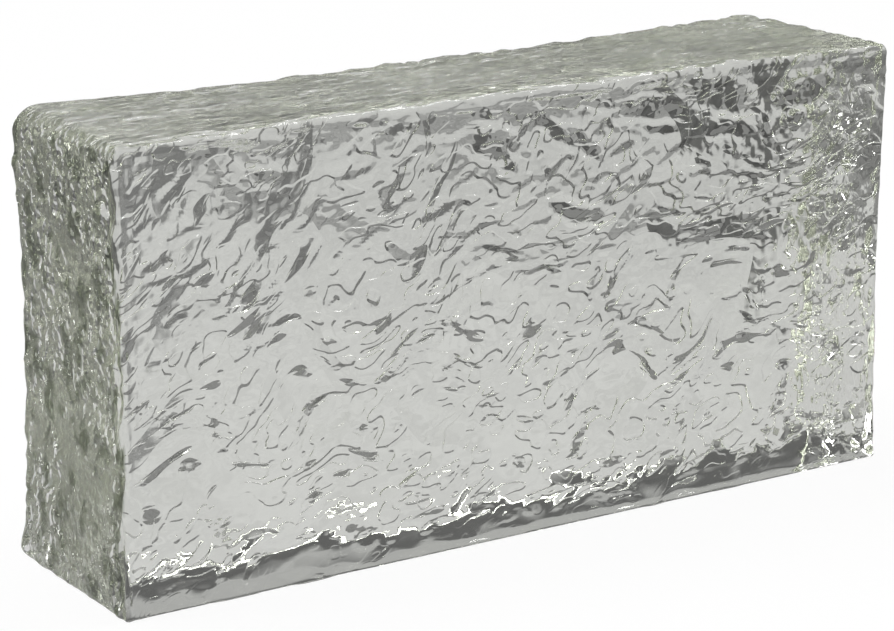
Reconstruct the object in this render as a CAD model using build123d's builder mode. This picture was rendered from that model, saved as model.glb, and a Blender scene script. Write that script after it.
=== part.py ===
"""Solid cast glass block, one piece of clear glass laid on its long narrow side.

The block is poured into an open mould. The floor of the mould gives the patterned face,
with a thin arris and a diagonal flow ripple inside a plain border. The other large face is
the poured one: it has sunk a little as it cooled, and its rim is round. The ends have drawn
in between their corners, and the top has crowned a little. The bed, which the block stands
on, is ground flat.

X runs along the block, Y from the patterned face to the poured face, and Z up.
The origin is the middle of the bed.
"""

import os
from math import cos, hypot, pi, radians, sin

from build123d import *

# Driving dimensions, in millimetres
length = 200.0
thickness = 50.0
height = 100.0

# Outline
corner_radius = 4.0
end_sink = 1.1  # how far an end draws in, midway between its corners
top_crown = 0.6  # how far the top rises, midway between its corners
bed_grind = 0.08  # glass ground off the bed, to make it flat

# Rims of the two large faces
patterned_arris_radius = 1.7
poured_rim_radius = 3.6

# Flow ripple in the patterned face
ripple_depth = 0.9
ripple_pitch = 27.0  # from crest to crest, across the flow
ripple_run = 74.0  # over which a crest wanders once, along the flow
ripple_wander = 5.0
ripple_lean = 38.0  # degrees, from the bed up to the crests
ripple_land = 2.0  # plain border inside the arris
ripple_fade = 8.0  # over which the ripple grows from the border to its full depth

# The coarse train first, then finer ones that cross it at other angles
train_pitch_shares = (1.0, 0.66, 0.81)
train_depth_shares = (0.5, 0.28, 0.22)
train_turns = (0.0, -34.0, 61.0)  # degrees, from the first train

# Sink and slow waves of the poured face
pool_depth = 1.1
pool_wave_depth = 0.35
pool_wave_pitch = 58.0
pool_land = 4.0
pool_fade = 14.0

# Skins that cut the two large faces, which stand off the plain borders by their lift
skin_step = 4.0
skin_margin = 6.0
skin_lift = 0.12
skin_tolerance = 0.02


def swell(distance, land, fade):
    """0 over the land beside an edge, growing smoothly to 1 once the fade is over."""
    share = min(max((distance - land) / fade, 0), 1)
    return share * share * (3 - 2 * share)


def inside_share(x, z, land, fade):
    """How much of its depth a face's relief has at x, z: 0 at the rim and 1 well inside."""
    from_end = length / 2 - abs(x)
    from_bed_or_top = height / 2 - abs(z - height / 2)
    return swell(from_end, land, fade) * swell(from_bed_or_top, land, fade)


def ripple(x, z):
    """Depth of the flow ripple at a place on the patterned face."""
    depth = 0
    for pitch_share, depth_share, turn in zip(train_pitch_shares, train_depth_shares, train_turns):
        lean = radians(ripple_lean + turn)
        along = x * cos(lean) + z * sin(lean)
        across = z * cos(lean) - x * sin(lean)
        crest = across + ripple_wander * sin(2 * pi * along / (ripple_run * pitch_share))
        wave = (1 - cos(2 * pi * crest / (ripple_pitch * pitch_share))) / 2
        depth += ripple_depth * depth_share * wave
    return depth


def pool(x, z):
    """Depth of the sunk poured face, deepest in its middle, with slow waves."""
    reach_share = hypot(2 * x / length, 2 * z / height - 1) / hypot(1, 1)
    dish = pool_depth * (1 - reach_share**2)
    waves = sin(2 * pi * (x + z) / pool_wave_pitch) * sin(2 * pi * (z - x / 2) / pool_wave_pitch)
    return dish + pool_wave_depth * (1 + waves) / 2


def skin(face_y, inward, relief, land, fade):
    """A sheet across the block, outside a large face over its border and sunk by the relief inside."""
    columns = round((length + 2 * skin_margin) / skin_step)
    rows = round((height + 2 * skin_margin) / skin_step)
    xs = [(length + 2 * skin_margin) * (i / columns - 1 / 2) for i in range(columns + 1)]
    zs = [(height + 2 * skin_margin) * j / rows - skin_margin for j in range(rows + 1)]
    points = []
    for x in xs:
        column = []
        for z in zs:
            depth = (relief(x, z) + 2 * skin_lift) * inside_share(x, z, land, fade) - skin_lift
            column.append(Vector(x, face_y + inward * depth, z))
        points.append(column)
    return Face.make_surface_from_array_of_points(points, tol=skin_tolerance)


with BuildPart() as glass_block:
    # Plane.XZ faces -Y, so an offset towards the patterned face is positive
    with BuildSketch(Plane.XZ.offset(thickness / 2)) as section:
        with BuildLine():
            Line((-length / 2, -bed_grind), (length / 2, -bed_grind))
            SagittaArc((length / 2, -bed_grind), (length / 2, height), end_sink)
            SagittaArc((length / 2, height), (-length / 2, height), -top_crown)
            SagittaArc((-length / 2, height), (-length / 2, -bed_grind), end_sink)
        make_face()
        fillet(section.vertices(), corner_radius)
    extrude(amount=-thickness)
    patterned_face = glass_block.faces().sort_by(Axis.Y)[0]
    fillet(patterned_face.edges(), patterned_arris_radius)
    poured_face = glass_block.faces().sort_by(Axis.Y)[-1]
    fillet(poured_face.edges(), poured_rim_radius)
    split(bisect_by=Plane.XY, keep=Keep.TOP)
    split(bisect_by=skin(-thickness / 2, 1, ripple, ripple_land, ripple_fade), keep=Keep.BOTTOM)
    split(bisect_by=skin(thickness / 2, -1, pool, pool_land, pool_fade), keep=Keep.TOP)

glass_block.part.label = "glass_block"

os.makedirs("parts", exist_ok=True)
export_step(glass_block.part, "parts/glass_block.step")
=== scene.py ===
"""Visual model of a solid cast glass block: its relief, its glass, and a plain pale studio.

Lengths are in millimetres up to the mesh, which is made in metres, and in metres in the
materials and the studio. X runs along the block, Y from the patterned face to the poured
face, and Z up from the bed.
"""

from math import cos, pi, radians, sin

import bmesh
import bpy
import numpy as np
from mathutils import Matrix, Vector


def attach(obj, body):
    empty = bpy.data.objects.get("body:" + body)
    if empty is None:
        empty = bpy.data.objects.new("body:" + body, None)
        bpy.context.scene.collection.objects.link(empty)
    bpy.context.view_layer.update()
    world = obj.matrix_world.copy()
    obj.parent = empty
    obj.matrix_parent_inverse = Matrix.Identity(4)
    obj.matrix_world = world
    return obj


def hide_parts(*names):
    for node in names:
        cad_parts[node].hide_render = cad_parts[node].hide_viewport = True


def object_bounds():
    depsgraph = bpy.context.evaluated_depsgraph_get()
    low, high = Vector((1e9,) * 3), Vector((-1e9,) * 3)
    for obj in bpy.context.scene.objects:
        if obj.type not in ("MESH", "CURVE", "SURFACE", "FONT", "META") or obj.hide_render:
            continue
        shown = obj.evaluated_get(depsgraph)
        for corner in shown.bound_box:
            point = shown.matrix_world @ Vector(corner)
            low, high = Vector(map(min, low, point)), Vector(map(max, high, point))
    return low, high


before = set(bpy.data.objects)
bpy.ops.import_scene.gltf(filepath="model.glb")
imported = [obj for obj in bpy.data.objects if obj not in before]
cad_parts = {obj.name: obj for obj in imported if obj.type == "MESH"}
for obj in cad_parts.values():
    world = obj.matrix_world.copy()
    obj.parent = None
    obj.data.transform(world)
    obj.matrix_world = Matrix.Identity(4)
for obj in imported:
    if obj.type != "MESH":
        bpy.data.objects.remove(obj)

cad_low, cad_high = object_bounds()
MM = 0.001

# ---------------------------------------------------------------- the block's form
HALF_LENGTH = 99.75
HALF_THICKNESS = 24.75
HEIGHT = 99.7
FRONT_CORNER, BACK_CORNER = 2.4, 7.0
FRONT_ARRIS, BACK_RIM, BED_ARRIS, FOOT_ARRIS = 1.7, 3.8, 1.2, 0.6
FOOT_EASE = 12.0  # height over which the arris and the rim grow from the foot's
FRONT_END_SINK, BACK_END_SINK = 0.9, 1.5
FRONT_TOP_CROWN, BACK_TOP_SINK = 0.9, 1.7
BOX_GAP = 0.02  # how far the relief stays inside the CAD model's box

# Mesh: close rows beside the edges, wider ones between, halved again on the patterned face
RIM_ZONE, RIM_STEP = 5.0, 0.55
CORE_STEP = 1.28
FINE_FROM = 1.6  # height above which the patterned face is halved
FACING_FRONT = -0.9
CODE_BASE = 4096  # more than the mesh has rows on any axis
SETTLE_TURNS, SETTLE_STEP, SETTLE_LEAST = 5, 0.02, 0.5

# ---------------------------------------------------------------- the patterned face
# Coarse flow ripple, as in the CAD model, and its trains: pitch share, depth share, turn
RIPPLE_DEPTH, RIPPLE_PITCH, RIPPLE_RUN, RIPPLE_WANDER, RIPPLE_LEAN = 0.9, 27.0, 74.0, 5.0, 38.0
TRAINS = ((1.0, 0.5, 0.0), (0.66, 0.28, -34.0), (0.81, 0.22, 61.0))
RIPPLE_SHARE = 0.6

# How far the face lies back inside its border, how far its foot does, and the border's width
RELIEF_SINK, FOOT_SINK = 0.55, 0.10
BORDER, BORDER_FADE = 1.2, 4.0
GROOVE_DEPTH, GROOVE_AT, GROOVE_WIDTH = 0.22, 2.6, 0.65
GROOVE_WANDER, GROOVE_WAVE, GROOVE_LAYER = 1.2, 14, 3.7

# Lean of the flow, and where it turns steeper towards the upper left
LEAN_LOW, LEAN_UPPER_LEFT = radians(12), radians(30)
LEAN_BY_X, LEAN_FROM, LEAN_FADE = 0.4, 66, 42

# Foot: calm below the folds, with waves, small craters and a lip that flares out
FOOT_CALM, FOOT_RISE = 9.0, 8.0
FOOT_WAVE, FOOT_WAVES_UP_TO, FOOT_WAVE_SIZE, FOOT_WAVE_LAYER = 0.95, (13.0, 9.0), (9.0, 7.5), 6.6
FOOT_WARP = (9, 3.0, 5.0)
LIP_HEIGHT, LIP_WANDER, LIP_FLARE = 2.5, 0.8, 1.0
LIP_STEP_AT, LIP_STEP_WIDTH = -52, 6  # where along the block the lip steps down
LIP_WAVE, LIP_WAVE_SIZE, LIP_WAVE_LAYER = 2.0, (9, 50), 9.1
LIP_FADE, LIP_ENDS = (5.0, 9.0), (1.0, 2.5)

# Swells and streaks along the flow: height, size along and across it, and layer of the noise
SWELLS = (0.26, 17, 9, 0.0)
STREAKS = (0.05, 5.2, 2.6, 3.1)
FLOW_WARP = (17, 4.0)
WARP_LAYERS_APART = 7.3
COARSE_WARP, FINE_WARP = (7.0, 1.5, 2.0), (2.6, 0.5, 4.0)

# Folds listed by their two ends and greatest width: x, z, x, z, width
FOLDS = (
    # folds under the top, from the left
    (-75, 96, -57, 93, 7.5), (-68, 92, -61, 87, 6.0), (-51, 90, -37, 96, 3.4),
    (-50, 84.5, -38, 89.5, 4.0), (-62, 78, -49.8, 84.5, 2.6), (-67, 72.5, -60, 76, 3.0),
    (-32, 96, -8, 96, 8.0), (-18, 92, -2, 88, 9.0), (-8, 88, -3, 82, 5.0), (0, 95, 12, 87, 4.5),
    (8, 92, 19, 82, 5.0), (13, 96, 28, 96, 7.0), (42, 96, 62, 90, 8.0), (58, 92, 72, 94, 6.0),
    (52, 98, 60, 80, 3.0), (82, 83, 93, 81, 6.5), (20, 93, 44, 91, 7.0), (46, 86, 62, 84, 6.0),
    (66, 89, 84, 93, 8.0), (30, 88, 40, 86, 4.0), (70, 77, 82, 79, 4.0),
    # folds of the upper half
    (-87, 80, -78, 81, 3.0), (-86, 83, -82, 87, 2.4), (-94, 73, -86, 77, 4.0),
    (-89, 70.5, -76, 73, 2.6), (-95, 93, -88, 92.4, 1.8), (-88, 90, -82, 92, 1.6),
    (-55, 64.5, -41.5, 71, 2.8), (-70, 62.4, -60, 65, 2.8), (-22, 69, -6, 72, 3.6),
    (-16.5, 67, -1, 65, 2.4), (-17, 60, -6, 62, 2.8), (-2, 60, 11, 61, 3.2), (5, 74, 21, 69, 6.0),
    (16, 64, 24, 62, 2.4), (28, 65, 33.5, 68.2, 1.6), (41, 60, 47.5, 62, 2.2), (53, 75, 66, 73, 2.4),
    (70, 64.5, 81, 68.5, 2.6), (55, 58.6, 64, 62.8, 2.2), (44, 52, 50, 52.8, 1.8),
    (50.5, 45.4, 61, 46.6, 2.2), (20, 76, 33, 84, 3.0), (24, 57, 33, 60, 1.6), (33, 80, 45, 84, 3.4),
    (64, 81, 76, 86, 3.0), (-38, 75, -28, 81, 2.4), (-33, 62, -26, 64, 2.2), (-78, 60, -70, 66, 2.0),
    # folds of the lower half
    (-94, 45, -87, 47, 1.8), (-93, 40, -80, 42, 1.6), (-80, 42, -76, 44, 2.0),
    (-46.5, 43, -42, 47.5, 1.8), (-46, 45, -37.5, 52, 2.2), (-69.5, 52, -61, 56.5, 2.4),
    (-7.5, 46, -1, 44.8, 1.5), (21, 48.6, 35.5, 49.4, 2.2), (34, 42.4, 41, 45.6, 1.5),
    (28, 38.8, 33.5, 40.8, 1.2), (35.4, 32.6, 40.2, 36, 1.3), (-14, 34.5, -4.6, 40.2, 2.0),
    (-30, 27, -18, 32, 1.8), (-57, 36, -50, 37, 1.4), (5, 24, 14, 26, 1.6), (60, 36, 72, 41, 1.5),
    (44, 28, 56, 32, 1.4),
)
FOLD_EDGE, EDGE_OUTSIDE = 0.9, 0.3  # width of a fold's soft edge, and the share of it outside the fold

# A fold needs a slope to look dark, steeper the lower it lies, and rises no more than its limit
TILT_AT_BED, TILT_BY_HEIGHT, FOLD_LIMIT = 1.05, 0.0088, 0.75

# Where seeded folds and craters may lie, and how often a place is tried for each
SCATTER_X, SCATTER_Z, SCATTER_TRIES = (-97, 97), (3, 97), 30

# Seeded folds: seed, count and gap, and then ranges; a share below 0 leans the other way
SCATTERED = (31, 120, 7.2)
SCATTERED_EDGE, SCATTERED_TURN = 0.8, 0.25
SCATTERED_HALF, SCATTERED_WIDTH, SCATTERED_WIDTH_BY_HALF = (1.5, 4.5), (1.0, 1.7), 0.16
HIGH_FROM, HIGH_FADE, HIGH_LONGER, HIGH_WIDER = 50, 35, 0.6, 0.8
SCATTERED_SHARES = (1.25, 1.25, 1.25, -1.0)

# Seeded craters over the face, and along its foot
CRATERS = (32, 55, 9.0)
CRATER_SHORT, CRATER_STRETCH, CRATER_TURN, CRATER_DEPTH = (0.8, 1.7), (1.1, 2.4), 0.5, (0.25, 0.5)
CRATER_EDGE, CRATER_MIDDLE, CRATER_BUMP = 0.8, 0.4, 0.5
FOOT_CRATER_SEED, FOOT_CRATER_XS = 33, (-92, 90, 26)
FOOT_CRATER_Z, FOOT_CRATER_X = (4.5, 15), (-2, 2)
FOOT_CRATER_SHORT, FOOT_CRATER_STRETCH = (0.7, 1.5), (1.2, 3.2)
FOOT_CRATER_LEAN, FOOT_CRATER_DEPTH = (-0.5, 0.9), (0.3, 0.6)

# Long blister near the middle, and the seam that runs down from it: x, z of the ends
BLISTER = (-29.5, 46.5, -14.5, 57.5, 4.4)
BLISTER_RIM, BLISTER_HOLLOW = (0.55, -0.3, 0.9), (0.42, 0.7, 0.8)
SEAM = ((2.8, 49.4), (8.0, 43.0), (12.3, 35.8), (17.0, 28.0), (23.4, 21.2))
SEAM_WIDTH, SEAM_HEIGHT = 0.9, 0.36

# Rough spots, where the glass took the grain of the mould: x, z, radius
ROUGH_SPOTS = (
    (-65, 92, 4.0), (50.2, 34.3, 3.0), (-8.3, 29.7, 3.0), (38.5, 27.5, 2.6), (36.4, 23.2, 2.4),
    (-78, 38.9, 2.6), (-96, 77, 2.0), (-40, 58, 4.0), (18, 78, 3.4), (70, 18, 7.0), (86, 14, 7.0),
    (25, 10, 8.0), (-70, 17, 3.0), (62, 88, 3.0),
)
ROUGH_HEIGHT, ROUGH_SIZE, ROUGH_LAYER, ROUGH_EDGE = 0.42, 1.5, 8.8, 2.0

# ---------------------------------------------------------------- the other faces
# Waves of the poured face: height, size along and up, and layer
POOL_DEPTH, POOL_LAND, POOL_FADE = 0.8, 4.0, 40.0
POOL_SWELLS, POOL_WAVES, POOL_WARP = (0.40, 22, 13, 0.0), (0.18, 9, 4.5, 4.4), (9, 2.5, 1.0)

# Top: waves drawn out along it, creases, grain, and beads along its back edge at the right
TOP_WAVES, TOP_CREASES, TOP_RIDGES = (0.35, 11, 4, 0.0), (0.40, 6.5, 2.6, 5.5), (0.22, 3.6, 1.7, 7.5)
TOP_BEADS, BEADS_BY_Y, BEADS_BY_X = (1.1, 4.6, 7.0, 9.5), (8, 10), (-45, 30)

# Ends: waves and creases in sizes for a scale of 1, grain, and each end's layer, grain, scale, depth
END_WAVES, END_CREASES, END_GRAINS = (0.80, 6.0, 6.5, 0.0), (0.85, 4.2, 4.8, 3.3), (1.9, 2.6, 5.5)
END_WARP = (8, 2.5)
RIGHT_END, LEFT_END = (20.5, 0.03, 1.5, 0.8), (0.0, 0.26, 1.0, 1.0)


NOISE_GAIN = 1.6  # brings the noise to about -1 to 1


class Noise:
    """Smooth gradient noise in three dimensions, the same for the same seed."""

    def __init__(self, seed):
        rng = np.random.default_rng(seed)
        self.order = rng.permutation(256)
        self.slopes = rng.normal(size=(256, 3))
        self.slopes /= np.linalg.norm(self.slopes, axis=1)[:, None]

    def __call__(self, points):
        cell = np.floor(points).astype(int)
        place = points - cell
        fade = place**3 * (place * (place * 6 - 15) + 10)
        total = np.zeros(len(points))
        for corner in np.ndindex(2, 2, 2):
            at = (cell + corner) & 255
            key = self.order[(self.order[(self.order[at[:, 0]] + at[:, 1]) & 255] + at[:, 2]) & 255]
            height = np.einsum("ij,ij->i", self.slopes[key], place - corner)
            share = np.prod(np.where(corner, fade, 1 - fade), axis=1)
            total += height * share
        return total * NOISE_GAIN


ripple_noise, warp_noise, fine_noise = Noise(11), Noise(12), Noise(15)
pool_noise, top_noise, end_noise = Noise(16), Noise(17), Noise(18)


def swell(distance, land, fade):
    """0 up to the land, growing smoothly to 1 once the fade is over."""
    share = np.clip((distance - land) / fade, 0, 1)
    return share * share * (3 - 2 * share)


def lattice():
    """Vertices and quads of a box's surface, with close rows beside its edges."""
    rim = np.arange(0, RIM_ZONE, RIM_STEP)

    def ticks(low, high):
        rows = round((high - low - 2 * RIM_ZONE) / CORE_STEP) + 1
        core = np.linspace(low + RIM_ZONE, high - RIM_ZONE, rows)
        return np.concatenate([low + rim, core, (high - rim)[::-1]])

    axes = ticks(-HALF_LENGTH, HALF_LENGTH), ticks(-HALF_THICKNESS, HALF_THICKNESS), ticks(0, HEIGHT)
    counts = [len(a) - 1 for a in axes]
    quads = []
    for axis in range(3):
        u, v = (axis + 1) % 3, (axis + 2) % 3
        for end in (0, counts[axis]):
            i, j = np.meshgrid(np.arange(counts[u]), np.arange(counts[v]), indexing="ij")
            i, j = i.ravel(), j.ravel()
            loop = []
            for di, dj in ((0, 0), (1, 0), (1, 1), (0, 1)):
                key = np.zeros((len(i), 3), int)
                key[:, axis], key[:, u], key[:, v] = end, i + di, j + dj
                loop.append(key)
            if end == 0:
                loop.reverse()
            quads.append(np.stack(loop, axis=1))
    flat = np.concatenate(quads).reshape(-1, 3)
    code = (flat[:, 0] * CODE_BASE + flat[:, 1]) * CODE_BASE + flat[:, 2]
    _, first, back = np.unique(code, return_index=True, return_inverse=True)
    cells = flat[first]
    points = np.stack([axes[k][cells[:, k]] for k in range(3)], axis=1)
    return points, back.reshape(-1, 4)


def depth_share(y):
    """0 at the patterned face and 1 at the poured one."""
    return np.clip(y / (2 * HALF_THICKNESS) + 0.5, 0, 1)


def round_meet(a, b, radius):
    """Signed distance of the corner where two faces at distances a and b meet in a radius."""
    a, b = a + radius, b + radius
    return np.hypot(np.maximum(a, 0), np.maximum(b, 0)) + np.minimum(np.maximum(a, b), 0) - radius


def blank(p):
    """Signed distance to the block without its relief: rounded, drawn in and crowned."""
    x, y, z = p.T
    back = depth_share(y)
    across = np.clip(1 - (2 * z / HEIGHT - 1) ** 2, 0, 1)
    along = np.clip(1 - (x / HALF_LENGTH) ** 2, 0, 1)
    end = np.abs(x) - HALF_LENGTH + across * (FRONT_END_SINK + back * (BACK_END_SINK - FRONT_END_SINK))
    top = z - HEIGHT - along * (FRONT_TOP_CROWN - back * (FRONT_TOP_CROWN + BACK_TOP_SINK))
    corner = FRONT_CORNER + back * (BACK_CORNER - FRONT_CORNER)
    ring = np.maximum(round_meet(end, top, corner), round_meet(end, -z, BED_ARRIS))
    low = np.clip(1 - z / FOOT_EASE, 0, 1)
    front = round_meet(ring, -HALF_THICKNESS - y, FRONT_ARRIS + low * (FOOT_ARRIS - FRONT_ARRIS))
    rear = round_meet(ring, y - HALF_THICKNESS, BACK_RIM + low * (BED_ARRIS - BACK_RIM))
    return np.maximum(front, rear)


def settle(p):
    """Moves points onto the surface of the blank, and gives its normals there."""
    for turn in range(SETTLE_TURNS):
        value = blank(p)
        rises = [blank(p + SETTLE_STEP * e) - blank(p - SETTLE_STEP * e) for e in np.eye(3)]
        slope = np.stack(rises, axis=1) / (2 * SETTLE_STEP)
        size = np.maximum(np.linalg.norm(slope, axis=1), SETTLE_LEAST)
        normal = slope / size[:, None]
        p = p - normal * (value / size)[:, None]
    return p, normal


def flat_noise(noise, u, v, u_size, v_size, layer=0.0):
    """Noise over a plane, whose waves measure u_size by v_size; a layer is one of many such planes."""
    return noise(np.stack([u / u_size, v / v_size, np.full_like(u, layer)], axis=1))


def waves(noise, u, v, settings):
    """Noise over a plane, by its height, its two sizes and its layer."""
    height, u_size, v_size, layer = settings
    return height * flat_noise(noise, u, v, u_size, v_size, layer)


def creases(noise, u, v, settings):
    """As waves, but folded at 0, so that it has sharp valleys."""
    height, *rest = settings
    return height * np.abs(flat_noise(noise, u, v, *rest))


def warped(u, v, size, reach, layer=0.0):
    """Places moved by up to about a reach, in waves of a size."""
    return (
        u + reach * flat_noise(warp_noise, u, v, size, size, layer),
        v + reach * flat_noise(warp_noise, u, v, size, size, layer + WARP_LAYERS_APART),
    )


def ripple(x, z):
    """Depth of the coarse flow ripple in the patterned face."""
    depth = np.zeros_like(x)
    for pitch_share, depth_of, turn in TRAINS:
        lean = radians(RIPPLE_LEAN + turn)
        along = x * cos(lean) + z * sin(lean)
        across = z * cos(lean) - x * sin(lean)
        crest = across + RIPPLE_WANDER * np.sin(2 * pi * along / (RIPPLE_RUN * pitch_share))
        depth += RIPPLE_DEPTH * depth_of * (1 - np.cos(2 * pi * crest / (RIPPLE_PITCH * pitch_share))) / 2
    return depth


def lean_at(x, z):
    """Lean of the flow: nearly level at the right and below, steeper at the upper left."""
    return LEAN_LOW + LEAN_UPPER_LEFT * swell(z - LEAN_BY_X * x, LEAN_FROM, LEAN_FADE)


def scatter(seed, count, gap):
    """Seeded places on the patterned face, no nearer to each other than a gap."""
    rng = np.random.default_rng(seed)
    kept = []
    for turn in range(count * SCATTER_TRIES):
        spot = np.array([rng.uniform(*SCATTER_X), rng.uniform(*SCATTER_Z)])
        if all(np.hypot(*(spot - k)) > gap for k in kept):
            kept.append(spot)
            if len(kept) == count:
                break
    return rng, kept


def scattered_folds():
    """Seeded small folds, each with the share of its slope at the end of its row."""
    rng, spots = scatter(*SCATTERED)
    rows = []
    for x, z in spots:
        lean = lean_at(x, z) + rng.normal(0, SCATTERED_TURN)
        high = swell(z, HIGH_FROM, HIGH_FADE)
        half = rng.uniform(*SCATTERED_HALF) * (1 + HIGH_LONGER * high)
        width = rng.uniform(*SCATTERED_WIDTH) * (1 + HIGH_WIDER * high) + SCATTERED_WIDTH_BY_HALF * half
        ends = x - half * cos(lean), z - half * sin(lean), x + half * cos(lean), z + half * sin(lean)
        rows.append((*ends, width, rng.choice(SCATTERED_SHARES)))
    return rows


def face_craters():
    """Seeded craters over the patterned face: place, sizes, lean and depth."""
    rng, spots = scatter(*CRATERS)
    rows = []
    for spot in spots:
        short = rng.uniform(*CRATER_SHORT)
        lean = lean_at(*spot) + rng.normal(0, CRATER_TURN)
        depth = rng.uniform(*CRATER_DEPTH)
        rows.append((*spot, short * rng.uniform(*CRATER_STRETCH), short, lean, depth))
    return rows


def foot_craters():
    """Seeded craters along the foot: place, sizes, lean and depth."""
    rng = np.random.default_rng(FOOT_CRATER_SEED)
    rows = []
    for x in np.linspace(*FOOT_CRATER_XS):
        z = rng.uniform(*FOOT_CRATER_Z)
        short = rng.uniform(*FOOT_CRATER_SHORT)
        long = short * rng.uniform(*FOOT_CRATER_STRETCH)
        x_at = x + rng.uniform(*FOOT_CRATER_X)
        rows.append((x_at, z, long, short, rng.uniform(*FOOT_CRATER_LEAN), rng.uniform(*FOOT_CRATER_DEPTH)))
    return rows


def local(x, z, fold):
    """Place along and across a fold, and its half length."""
    x1, z1, x2, z2 = fold[:4]
    half = np.hypot(x2 - x1, z2 - z1) / 2
    c, s = (x2 - x1) / (2 * half), (z2 - z1) / (2 * half)
    dx, dz = x - (x1 + x2) / 2, z - (z1 + z2) / 2
    return dx * c + dz * s, dz * c - dx * s, half


def fold_height(x, z, fold, edge, share=1.0):
    """A leaf-shaped facet that rises across itself, with soft edges."""
    along, across, half = local(x, z, fold)
    room = fold[4] / 2 * np.sqrt(np.clip(1 - (along / half) ** 2, 0, 1))
    inside = swell(room - np.abs(across), -edge * EDGE_OUTSIDE, edge)
    tilt = TILT_AT_BED - TILT_BY_HEIGHT * (fold[1] + fold[3]) / 2
    return inside * np.clip(tilt * share * across, -FOLD_LIMIT, FOLD_LIMIT) * (room > 0)


def crater_height(x, z, crater):
    """A small crater with a low middle bump."""
    x_at, z_at, long, short, lean, depth = crater
    dx, dz = x - x_at, z - z_at
    along, across = dx * cos(lean) + dz * sin(lean), dz * cos(lean) - dx * sin(lean)
    out = np.hypot(along / long, across / short) * short
    hollow = swell(short - out, -CRATER_EDGE / 2, CRATER_EDGE)
    bump = swell(CRATER_MIDDLE * short - out, -CRATER_EDGE / 2, CRATER_EDGE)
    return depth * (CRATER_BUMP * bump - hollow)


def blister_height(x, z):
    """The long blister: a raised rim round a hollow."""
    along, across, half = local(x, z, BLISTER)
    room = BLISTER[4] / 2 * np.clip(1 - (along / half) ** 4, 0, 1) ** 0.5
    (rim, *rim_edge), (hollow, *hollow_edge) = BLISTER_RIM, BLISTER_HOLLOW
    inward = room - np.abs(across)
    return rim * swell(inward, *rim_edge) - hollow * swell(inward, *hollow_edge)


def seam_height(x, z):
    """A ridge along the seam's run of points."""
    near = np.full_like(x, np.inf)
    for (x1, z1), (x2, z2) in zip(SEAM[:-1], SEAM[1:]):
        run = np.array([x2 - x1, z2 - z1])
        share = np.clip(((x - x1) * run[0] + (z - z1) * run[1]) / (run @ run), 0, 1)
        near = np.minimum(near, np.hypot(x - x1 - share * run[0], z - z1 - share * run[1]))
    return SEAM_HEIGHT * np.exp(-((near / SEAM_WIDTH) ** 2))


def front_detail(x, z, inside):
    """Height of the patterned face's swells, folds, craters, blister, seam and rough spots."""
    lean = lean_at(x, z)
    wx, wz = warped(x, z, *FLOW_WARP)
    along, across = wx * np.cos(lean) + wz * np.sin(lean), wz * np.cos(lean) - wx * np.sin(lean)
    detail = inside * waves(ripple_noise, along, across, SWELLS)
    detail += waves(fine_noise, along, across, STREAKS)
    fx, fz = warped(*warped(x, z, *COARSE_WARP), *FINE_WARP)
    above_foot = swell(z, FOOT_CALM, FOOT_RISE)
    for fold in FOLDS:
        detail += fold_height(fx, fz, fold, FOLD_EDGE) * above_foot
    for *fold, share in scattered_folds():
        detail += fold_height(fx, fz, fold, SCATTERED_EDGE, share) * above_foot
    for crater in face_craters():
        detail += crater_height(fx, fz, crater) * above_foot
    foot = 1 - swell(z, *FOOT_WAVES_UP_TO)
    foot_noise = flat_noise(ripple_noise, *warped(x, z, *FOOT_WARP), *FOOT_WAVE_SIZE, FOOT_WAVE_LAYER)
    detail += FOOT_WAVE * foot * foot_noise
    for crater in foot_craters():
        detail += crater_height(fx, fz, crater)
    detail += blister_height(fx, fz) + seam_height(fx, fz)
    for x_at, z_at, radius in ROUGH_SPOTS:
        near = swell(radius - np.hypot(x - x_at, z - z_at), -ROUGH_EDGE / 2, ROUGH_EDGE)
        detail += near * waves(fine_noise, x, z, (ROUGH_HEIGHT, ROUGH_SIZE, ROUGH_SIZE, ROUGH_LAYER))
    return detail


def front_relief(x, z):
    """Height of the relief on the patterned face."""
    from_end, from_top = HALF_LENGTH - np.abs(x), HEIGHT - z
    inside = swell(from_end, BORDER, BORDER_FADE) * swell(np.minimum(z, from_top), BORDER, BORDER_FADE)
    step = np.tanh(-(x - LIP_STEP_AT) / LIP_STEP_WIDTH)
    wave = LIP_WAVE * flat_noise(warp_noise, x, z, *LIP_WAVE_SIZE, LIP_WAVE_LAYER)
    lip = LIP_HEIGHT + LIP_WANDER * (step + wave)
    flare = LIP_FLARE * np.clip(z / lip, 0, 1) * swell(from_end, *LIP_ENDS)
    low = 1 - swell(z, *LIP_FADE)
    wander = GROOVE_WANDER * flat_noise(warp_noise, x, z, GROOVE_WAVE, GROOVE_WAVE, GROOVE_LAYER)
    edge = np.minimum(from_end, from_top) + wander
    base = -(RELIEF_SINK + RIPPLE_SHARE * (ripple(x, z) - RIPPLE_DEPTH / 2)) * inside
    base += low * ((RELIEF_SINK - FOOT_SINK) * inside - flare)
    base -= GROOVE_DEPTH * np.exp(-(((edge - GROOVE_AT) / GROOVE_WIDTH) ** 2))
    return base + front_detail(x, z, inside)


def back_relief(x, z):
    """Height of the relief on the poured face."""
    inside = swell(HALF_LENGTH - np.abs(x), POOL_LAND, POOL_FADE)
    inside *= swell(np.minimum(z, HEIGHT - z), POOL_LAND, POOL_FADE)
    height = -POOL_DEPTH * inside
    height += waves(pool_noise, x, z, POOL_SWELLS)
    height += waves(pool_noise, *warped(x, z, *POOL_WARP), POOL_WAVES)
    return height


def top_relief(x, y):
    """Height of the relief on the top."""
    height = waves(top_noise, x, y, TOP_WAVES) - creases(top_noise, x, y, TOP_CREASES)
    height += waves(top_noise, x, y, TOP_RIDGES)
    height += creases(top_noise, x, y, TOP_BEADS) * swell(y, *BEADS_BY_Y) * swell(x, *BEADS_BY_X)
    return height


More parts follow.
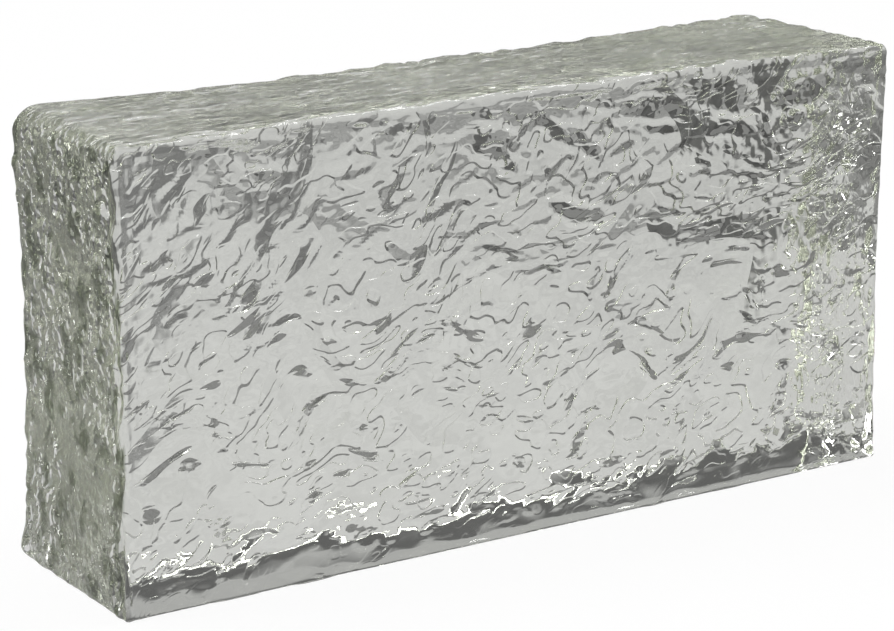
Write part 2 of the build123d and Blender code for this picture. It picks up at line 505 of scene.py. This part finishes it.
def end_relief(y, z, layer, grain, scale, depth):
    """Height of the relief on an end: a layer of the noises, a share of grain, a scale and a depth."""
    wy, wz = warped(y, z, *END_WARP, layer)

    def settings(height, y_size, z_size, apart):
        return depth * height, y_size * scale, z_size * scale, layer + apart

    height = waves(end_noise, wy, wz, settings(*END_WAVES))
    height -= creases(end_noise, wy, wz, settings(*END_CREASES))
    y_size, z_size, apart = END_GRAINS
    return height + waves(end_noise, y, z, (grain, y_size, z_size, layer + apart))


def relief(p, normal):
    """Height of the relief at each point, blended round the edges by the way the blank faces."""
    x, y, z = p.T
    plus, minus = np.maximum(normal, 0) ** 2, np.maximum(-normal, 0) ** 2
    height = minus[:, 1] * front_relief(x, z)
    height += plus[:, 1] * back_relief(x, z)
    height += plus[:, 2] * top_relief(x, y)
    height += plus[:, 0] * end_relief(y, z, *RIGHT_END)
    height += minus[:, 0] * end_relief(y, z, *LEFT_END)
    return height


def build_block():
    """The block as one closed mesh: a box's lattice, settled on the blank and moved by the relief."""
    points, quads = lattice()
    mesh = bpy.data.meshes.new("glass_block_cast")
    mesh.from_pydata((points * MM).tolist(), [], quads.tolist())
    bm = bmesh.new()
    bm.from_mesh(mesh)

    def is_fine(face):
        middle = face.calc_center_median()
        return (
            face.normal.y < FACING_FRONT
            and abs(middle.x) < (HALF_LENGTH - RIM_ZONE) * MM
            and FINE_FROM * MM < middle.z < (HEIGHT - RIM_ZONE) * MM
        )

    edges = list({edge for face in bm.faces if is_fine(face) for edge in face.edges})
    bmesh.ops.subdivide_edges(bm, edges=edges, cuts=1, use_grid_fill=True)
    bmesh.ops.triangulate(bm, faces=[face for face in bm.faces if len(face.verts) > 4])
    bm.to_mesh(mesh)
    bm.free()
    flat = np.empty(len(mesh.vertices) * 3)
    mesh.vertices.foreach_get("co", flat)
    p, normal = settle(flat.reshape(-1, 3) / MM)
    p = p + normal * relief(p, normal)[:, None]
    p = np.clip(p, np.array(cad_low) / MM + BOX_GAP, np.array(cad_high) / MM - BOX_GAP)
    mesh.vertices.foreach_set("co", (p * MM).ravel())
    mesh.update()
    for polygon in mesh.polygons:
        polygon.use_smooth = True
    block = bpy.data.objects.new("cast_glass", mesh)
    bpy.context.scene.collection.objects.link(block)
    return block


# ---------------------------------------------------------------- materials
class Nodes:
    """A node tree built by short calls, each of which gives the output that it makes."""

    def __init__(self, data):
        data.use_nodes = True
        self.tree = data.node_tree
        self.tree.nodes.clear()

    def new(self, kind, **settings):
        node = self.tree.nodes.new("ShaderNode" + kind)
        for name, value in settings.items():
            setattr(node, name, value)
        return node

    def link(self, value, socket):
        """Links an output to a socket, or sets a plain value on it."""
        if isinstance(value, bpy.types.NodeSocket):
            self.tree.links.new(value, socket)
        else:
            socket.default_value = value

    def math(self, operation, *values, **settings):
        node = self.new("Math", operation=operation, **settings)
        for value, socket in zip(values, node.inputs):
            self.link(value, socket)
        return node.outputs[0]

    def add(self, a, b):
        return self.math("ADD", a, b)

    def subtract(self, a, b):
        return self.math("SUBTRACT", a, b)

    def times(self, *values):
        total = values[0]
        for value in values[1:]:
            total = self.math("MULTIPLY", total, value)
        return total

    def highest(self, *values):
        total = values[0]
        for value in values[1:]:
            total = self.math("MAXIMUM", total, value)
        return total

    def split(self, vector):
        """X, Y and Z of a vector."""
        node = self.new("SeparateXYZ")
        self.link(vector, node.inputs[0])
        return node.outputs["X"], node.outputs["Y"], node.outputs["Z"]

    def vector(self, x, z):
        node = self.new("CombineXYZ")
        self.link(x, node.inputs["X"])
        self.link(z, node.inputs["Z"])
        return node.outputs["Vector"]

    def ramp(self, value, low, high, start=0.0, end=1.0, smooth=False):
        """From start to end, as the value goes from low to high."""
        node = self.new("MapRange", interpolation_type="SMOOTHSTEP" if smooth else "LINEAR")
        for name, number in zip(("From Min", "From Max", "To Min", "To Max"), (low, high, start, end)):
            node.inputs[name].default_value = number
        self.link(value, node.inputs["Value"])
        return node.outputs["Result"]

    def noise(self, where, scale, detail=0.0, distortion=0.0):
        node = self.new("TexNoise")
        for name, number in zip(("Scale", "Detail", "Distortion"), (scale, detail, distortion)):
            node.inputs[name].default_value = number
        self.link(where, node.inputs["Vector"])
        return node.outputs["Fac"]

    def rays(self, kind, *others):
        """1 for the kinds of ray named, and 0 for the rest."""
        path = self.new("LightPath")
        total = path.outputs[kind]
        for other in others:
            total = self.math("ADD", total, path.outputs[other], use_clamp=True)
        return total


# Glass
IOR = 1.5
TINT, TINT_DENSITY = (0.858, 0.90, 0.723, 1), 4.5
# The glass's own clear colour, and the darker colour painted into it as shade
CLEAR_SKIN, PAINTED_SHADE_COLOUR = (0.995, 0.995, 0.995, 1), (0.22, 0.243, 0.188, 1)
BUMP_DISTANCE = 0.001
FACING = (0.5, 0.85)  # over which a side's share grows, by how squarely the surface faces it
TOP_ABOVE = 0.05  # the top's part of the skin is only above this, and never on the bed

# Flow over the patterned face: where it turns from, its leans, and the size of its waves
FLOW_X, FLOW_Z = 0.07, 0.09
FLOW_LEANS = (0.066, 0.110, 0.17, 0.70)
FLOW_LONG, FLOW_SHORT = 0.0095, 0.0038
SLOW_SCALE, SLOW_BEND = 45.0, 7.0
BEND_SCALE, BEND_DETAIL = 0.45, 1.0

# Loops: a slow field cut into terraces, so that each step is a contour line
LOOP_LEAN, LOOP_LONG, LOOP_SHORT, LOOP_BEND = radians(22), 0.0080, 0.0050, 2.6
LOOP_DETAIL, LOOP_STEPS, LOOP_RISE, LOOP_HEIGHT = 0.9, 5.6, 0.24, 0.44
BUSY = (0.34, 0.50, 0.08, 1.0)

# Small folds: a saw-tooth in leaf-shaped patches, by height more of them and steeper below
SAW_PITCH, SAW_BEND, SAW_HEIGHT = 0.0036, 3.0, 4.2
PATCH_SCALE, PATCH_BEND, PATCH_BY_Z = 1.3, 0.3, (0.02, 0.075, 0.05, -0.015)
PATCH_START, PATCH_WIDTH = 0.77, 0.08
STEEP_BY_Z = (0.012, 0.1, 0.60, 0.14)
FINE_SCALE, FINE_HEIGHT = 520.0, 0.22
CALM_BY_Z = (0.006, 0.018, 0.15, 1.0)

# Grain of the top and ends, as sizes and heights, and patches of painted shade in their glass colour
TOP_GRAIN, TOP_GRAIN_HEIGHT = (0.0055, 0.0019, 0.0019), 1.9
END_GRAIN = (0.0021, 0.0021, 0.0026)
END_GRAIN_BY_X, END_GRAIN_BY_Y = (-0.05, 0.05, 3.0, 0.3), (-0.0235, -0.0190)
GRAIN_BUSY, GRAIN_LEAST = 0.75, 0.35
# Painted shade patches: their sizes, where they start, and how strong they are
END_SHADE_PATCH, END_SHADE_PATCH_FROM, END_PAINTED_SHADE_STRENGTH = (0.0040, 0.0040, 0.0072), (0.525, 0.60), 1.0
TOP_SHADE_PATCH, TOP_SHADE_PATCH_FROM, TOP_PAINTED_SHADE_STRENGTH = (0.010, 0.0034, 0.0034), (0.53, 0.62), 0.55
SHADE_PATCH_DETAIL = 2.0
ROUGH_SCALE, TOP_ROUGH = 160.0, 0.12


def glass_material():
    """Clear glass with a fine cast skin: loops and folds in front, and on the top and ends grain and
    patches of painted shade in its colour.
    """
    material = bpy.data.materials.new("clear_cast_glass")
    n = Nodes(material)
    shader = n.new("BsdfPrincipled")
    shader.inputs["Transmission Weight"].default_value = 1.0
    shader.inputs["IOR"].default_value = IOR
    place = n.new("TexCoord").outputs["Object"]
    x, y, z = n.split(place)
    busy_place = n.noise(place, SLOW_SCALE)
    busy = n.ramp(busy_place, *BUSY)

    def stretched_noise(sizes, detail):
        node = n.new("Mapping", vector_type="TEXTURE")
        node.inputs["Scale"].default_value = sizes
        n.link(place, node.inputs["Vector"])
        return n.noise(node.outputs["Vector"], 1.0, detail)

    def turned(u, v, cosine, sine):
        """A place along and across a direction."""
        along = n.add(n.times(u, cosine), n.times(v, sine))
        return along, n.subtract(n.times(v, cosine), n.times(u, sine))

    # Shares of the sides: the way that the surface faces, either way, and a test of the place
    normal = n.split(n.new("NewGeometry").outputs["Normal"])
    facing = [n.ramp(n.math("ABSOLUTE", part), *FACING) for part in normal]
    end_share = facing[0]
    front_share = n.times(facing[1], n.math("LESS_THAN", y, 0.0))
    top_share = n.times(facing[2], n.math("GREATER_THAN", z, TOP_ABOVE))

    # Flow coordinates, nearly level at the lower right and steeper at the upper left
    lean = n.ramp(n.subtract(z, n.times(x, LEAN_BY_X)), *FLOW_LEANS)
    lean_cosine, lean_sine = n.math("COSINE", lean), n.math("SINE", lean)
    along, across = turned(n.add(x, FLOW_X), n.subtract(z, FLOW_Z), lean_cosine, lean_sine)
    bent = n.add(n.math("DIVIDE", across, FLOW_SHORT), n.times(busy_place, SLOW_BEND))
    flow = n.vector(n.math("DIVIDE", along, FLOW_LONG), bent)
    bend = n.noise(flow, BEND_SCALE, BEND_DETAIL)

    # Loops
    loops_along, loops_across = turned(x, z, cos(LOOP_LEAN), sin(LOOP_LEAN))
    curled = n.add(n.math("DIVIDE", loops_across, LOOP_SHORT), n.times(busy_place, LOOP_BEND))
    loops = n.vector(n.math("DIVIDE", loops_along, LOOP_LONG), curled)
    steps = n.times(n.noise(loops, 1.0, LOOP_DETAIL), LOOP_STEPS)
    rise = n.ramp(n.math("FRACT", steps), 0.0, LOOP_RISE, smooth=True)
    front = n.times(n.add(n.math("FLOOR", steps), rise), LOOP_HEIGHT, busy)

    # Small folds and the finest waves, both fading to the calm foot
    saw = n.add(n.math("DIVIDE", across, SAW_PITCH), n.times(bend, SAW_BEND))
    saw = n.subtract(n.math("FRACT", saw), 0.5)
    patch = n.add(n.noise(flow, PATCH_SCALE), n.times(bend, PATCH_BEND))
    patch = n.subtract(patch, n.ramp(z, *PATCH_BY_Z))
    mask = n.ramp(patch, PATCH_START, PATCH_START + PATCH_WIDTH)
    front = n.add(front, n.times(saw, mask, SAW_HEIGHT, n.ramp(z, *STEEP_BY_Z)))
    front = n.add(front, n.times(n.noise(place, FINE_SCALE), FINE_HEIGHT))
    front = n.times(front, n.ramp(z, *CALM_BY_Z), front_share)

    # Grain drawn out along the top, and on the ends
    patchy = n.add(n.times(busy, GRAIN_BUSY), GRAIN_LEAST)
    top = n.times(stretched_noise(TOP_GRAIN, 1.0), TOP_GRAIN_HEIGHT, top_share, patchy)
    end = n.times(stretched_noise(END_GRAIN, 1.0), n.ramp(x, *END_GRAIN_BY_X), end_share, patchy)
    end = n.times(end, n.ramp(y, *END_GRAIN_BY_Y))
    bump = n.new("Bump")
    bump.inputs["Strength"].default_value = 1.0
    bump.inputs["Distance"].default_value = BUMP_DISTANCE
    n.link(n.add(n.add(top, end), front), bump.inputs["Height"])
    n.link(bump.outputs["Normal"], shader.inputs["Normal"])

    # Painted shade: darker patches painted into the glass colour down the ends and along the top, standing
    # in for shade seen through the glass there
    end_painted_shade = n.ramp(stretched_noise(END_SHADE_PATCH, SHADE_PATCH_DETAIL), *END_SHADE_PATCH_FROM, smooth=True)
    top_painted_shade = n.ramp(stretched_noise(TOP_SHADE_PATCH, SHADE_PATCH_DETAIL), *TOP_SHADE_PATCH_FROM, smooth=True)
    painted_shade = n.highest(n.times(end_painted_shade, end_share, END_PAINTED_SHADE_STRENGTH), n.times(top_painted_shade, top_share, TOP_PAINTED_SHADE_STRENGTH))
    skin = n.new("Mix", data_type="RGBA")
    clear_colour, painted_shade_colour = [socket for socket in skin.inputs if socket.type == "RGBA"]
    n.link(painted_shade, skin.inputs["Factor"])
    n.link(CLEAR_SKIN, clear_colour)
    n.link(PAINTED_SHADE_COLOUR, painted_shade_colour)
    skin_colour = next(socket for socket in skin.outputs if socket.type == "RGBA")
    n.link(skin_colour, shader.inputs["Base Color"])
    rough = n.times(n.noise(place, ROUGH_SCALE), TOP_ROUGH, top_share)
    n.link(rough, shader.inputs["Roughness"])

    absorb = n.new("VolumeAbsorption")
    absorb.inputs["Color"].default_value = TINT
    absorb.inputs["Density"].default_value = TINT_DENSITY
    out = n.new("OutputMaterial")
    n.link(shader.outputs["BSDF"], out.inputs["Surface"])
    n.link(absorb.outputs["Volume"], out.inputs["Volume"])
    return material


# Floor: its own colour, and its level as the camera sees it
FLOOR_COLOUR, WHITE_FLOOR = (0.08, 0.08, 0.08, 1), 0.92

# A pale sheet round the block and the darker floor beyond, as the glass sees them
NEAR_FLOOR, FAR_FLOOR = 0.55, 0.22
SHEET_REACH, SHEET_FADE, SHEET_TAPER = 0.40, 0.08, 0.35
# Painted light fall-off of the sheet: where it starts, and the share of its level left at its reach
SHEET_FALL_FROM, SHEET_FALL = 0.02, 0.86
FRONT_SIDE, FRONT_SIDE_FROM, FRONT_SIDE_FADE = 0.85, -0.06, 0.05
HAZE_SCALE, HAZE = 30.0, (0.35, 0.3, 1.05, 0.93)
CLOUD_SCALE, CLOUD_FROM, CLOUD_WIDTH, CLOUD_LEVELS = 9.0, 0.40, 0.2, (0.95, 1.3)
CLOUD_DETAIL = 2.0

# A bright line of gathered light a little way from the foot
LINE_LEVEL, LINE_NEAR, LINE_FAR, LINE_FADE = 0.03, 0.0122, 0.0138, 0.001

# Shade under the block and at both sides of it: start, width and levels, and what breaks it up
SHADE_DEPTH = 0.90
SIDE_TURN = 0.65
UNDER, RIGHT, LEFT = (-0.003, 0.004, 1.0, 0.0), (0.100, 0.03, 0.0, 1.0), (-0.165, 0.045, 0.75, 0.0)
MOTTLE_SCALE, MOTTLE_DISTORTION = 60.0, 1.5
UNDER_MOTTLE = (0.45, 0.08, 1.0, 0.1)
RIGHT_MOTTLE, LEFT_MOTTLE = (0.68, 0.05, 1.0, 0.0), (0.60, 0.05, 1.0, 0.2)


def floor_material():
    """A pale sheet on a darker floor, as the glass sees it, with light gathered round the block's foot."""
    material = bpy.data.materials.new("pale_floor")
    n = Nodes(material)
    place = n.new("TexCoord").outputs["Object"]
    x, y, _ = n.split(place)
    across, deep = n.math("ABSOLUTE", x), n.math("ABSOLUTE", y)

    def fall(value, start, width, near, far):
        return n.ramp(value, start, start + width, near, far, smooth=True)

    # The sheet, hazy and darker in front of the block, and the clouded floor beyond
    reach = n.add(deep, n.times(across, SHEET_TAPER))
    # Painted light fall-off: the sheet is painted brighter near the block and darker further out
    slope = fall(reach, SHEET_FALL_FROM, SHEET_REACH, NEAR_FLOOR, NEAR_FLOOR * SHEET_FALL)
    slope = n.times(slope, fall(y, FRONT_SIDE_FROM, FRONT_SIDE_FADE, FRONT_SIDE, 1.0))
    slope = n.times(slope, fall(n.noise(place, HAZE_SCALE, CLOUD_DETAIL), *HAZE))
    low_cloud, high_cloud = [FAR_FLOOR * level for level in CLOUD_LEVELS]
    cloud = n.noise(place, CLOUD_SCALE, CLOUD_DETAIL)
    beyond = fall(cloud, CLOUD_FROM, CLOUD_WIDTH, low_cloud, high_cloud)
    sheet = fall(reach, SHEET_REACH, SHEET_FADE, 1.0, 0.0)
    sheet = n.add(beyond, n.times(sheet, n.subtract(slope, beyond)))

    # The bright line
    beside = n.highest(n.subtract(across, cad_high[0]), n.subtract(deep, cad_high[1]))
    line = fall(beside, LINE_FAR, LINE_FADE, LINE_LEVEL, 0.0)
    line = n.times(line, fall(beside, LINE_NEAR, LINE_FADE, 0.0, 1.0))

    # The shade
    # Painted caustic light: the mottle breaks the painted shade into lighter patches
    mottle = n.noise(place, MOTTLE_SCALE, CLOUD_DETAIL, MOTTLE_DISTORTION)
    sideways = n.subtract(x, n.times(n.highest(y, 0.0), SIDE_TURN))
    under = n.times(fall(beside, *UNDER), fall(mottle, *UNDER_MOTTLE))
    right = n.times(fall(sideways, *RIGHT), fall(mottle, *RIGHT_MOTTLE))
    left = n.times(fall(sideways, *LEFT), fall(mottle, *LEFT_MOTTLE))
    kept = n.subtract(1.0, n.times(n.highest(under, right, left), SHADE_DEPTH))

    shown = n.add(n.times(sheet, kept), line)
    white = n.times(n.rays("Is Camera Ray"), WHITE_FLOOR)
    level = n.add(white, n.times(n.rays("Is Glossy Ray", "Is Transmission Ray"), shown))
    glow = n.new("Emission")
    n.link(level, glow.inputs["Strength"])
    diffuse = n.new("BsdfDiffuse")
    diffuse.inputs["Color"].default_value = FLOOR_COLOUR
    both = n.new("AddShader")
    n.link(diffuse.outputs["BSDF"], both.inputs[0])
    n.link(glow.outputs["Emission"], both.inputs[1])
    n.link(both.outputs["Shader"], n.new("OutputMaterial").inputs["Surface"])
    return material


# Sky, as the glass sees it: its levels, and the Z of a direction between which it goes to each
HORIZON, LOW_SKY, HIGH_SKY = 0.27, 0.125, 0.54
LOW_BETWEEN, HIGH_BETWEEN = (0.12, 0.26), (0.32, 0.48)


def studio_world():
    """White for the camera, and for the rest a low sky that is darker than the horizon and the high sky."""
    world = bpy.data.worlds.new("studio")
    bpy.context.scene.world = world
    n = Nodes(world)
    up = n.split(n.new("TexCoord").outputs["Generated"])[2]
    low = n.ramp(up, *LOW_BETWEEN, HORIZON, LOW_SKY)
    high = n.ramp(up, *HIGH_BETWEEN, 0.0, HIGH_SKY - LOW_SKY, smooth=True)
    seen = n.rays("Is Camera Ray")
    level = n.add(seen, n.times(n.subtract(1.0, seen), n.add(low, high)))
    back = n.new("Background")
    n.link(level, back.inputs["Strength"])
    n.link(back.outputs["Background"], n.new("OutputWorld").inputs["Surface"])


# Softboxes: place, aim, width, height and power
SOFTBOXES = {
    "softbox_above": ((-0.3, 0.5, 1.6), (0, 0, 0), 1.4, 0.9, 13.0),
    "softbox_right": ((0.9, -0.25, 1.45), (0, 0, 0.05), 0.5, 0.5, 7.0),
    "softbox_left": ((-1.3, 0.45, 0.40), (-0.1, 0, 0.05), 0.40, 0.40, 5.8),
}


def softbox(name, place, aim, width, height, power):
    """A rectangular area light, turned towards its aim."""
    data = bpy.data.lights.new(name, "AREA")
    data.shape = "RECTANGLE"
    data.size, data.size_y = width, height
    data.energy = power
    lamp = bpy.data.objects.new(name, data)
    lamp.location = place
    lamp.rotation_euler = (Vector(aim) - Vector(place)).to_track_quat("-Z", "Y").to_euler()
    bpy.context.scene.collection.objects.link(lamp)


# ---------------------------------------------------------------- the scene
piece = build_block()
piece.data.materials.append(glass_material())
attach(piece, "root")
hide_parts("glass_block")

FLOOR_REACH = 4.0
corners = [(-1, -1), (1, -1), (1, 1), (-1, 1)]
floor_mesh = bpy.data.meshes.new("floor")
floor_mesh.from_pydata([(FLOOR_REACH * x, FLOOR_REACH * y, 0) for x, y in corners], [], [(0, 1, 2, 3)])
floor = bpy.data.objects.new("floor", floor_mesh)
bpy.context.scene.collection.objects.link(floor)
floor.data.materials.append(floor_material())

studio_world()
for name, settings in SOFTBOXES.items():
    softbox(name, *settings)

# Camera, fitted to the corners of the block in the photograph
CAMERA_PLACE = Vector((-0.3717, -0.5690, 0.2385))
YAW, PITCH = radians(32.78), radians(15.95)
FOCAL_PX, FRAME_PX = 3162.0, 894.0
SENSOR = 36.0
camera_data = bpy.data.cameras.new("camera")
camera_data.sensor_width = SENSOR
camera_data.lens = FOCAL_PX / FRAME_PX * SENSOR
camera = bpy.data.objects.new("camera", camera_data)
bpy.context.scene.collection.objects.link(camera)
camera.location = CAMERA_PLACE
view = Vector((sin(YAW) * cos(PITCH), cos(YAW) * cos(PITCH), -sin(PITCH)))
camera.rotation_euler = view.to_track_quat("-Z", "Y").to_euler()
bpy.context.scene.camera = camera

scene = bpy.context.scene
scene.view_settings.view_transform = "Standard"
scene.cycles.max_bounces = 12
scene.cycles.transmission_bounces = 12
scene.cycles.glossy_bounces = 8
scene.cycles.volume_bounces = 0
scene.cycles.use_denoising = True
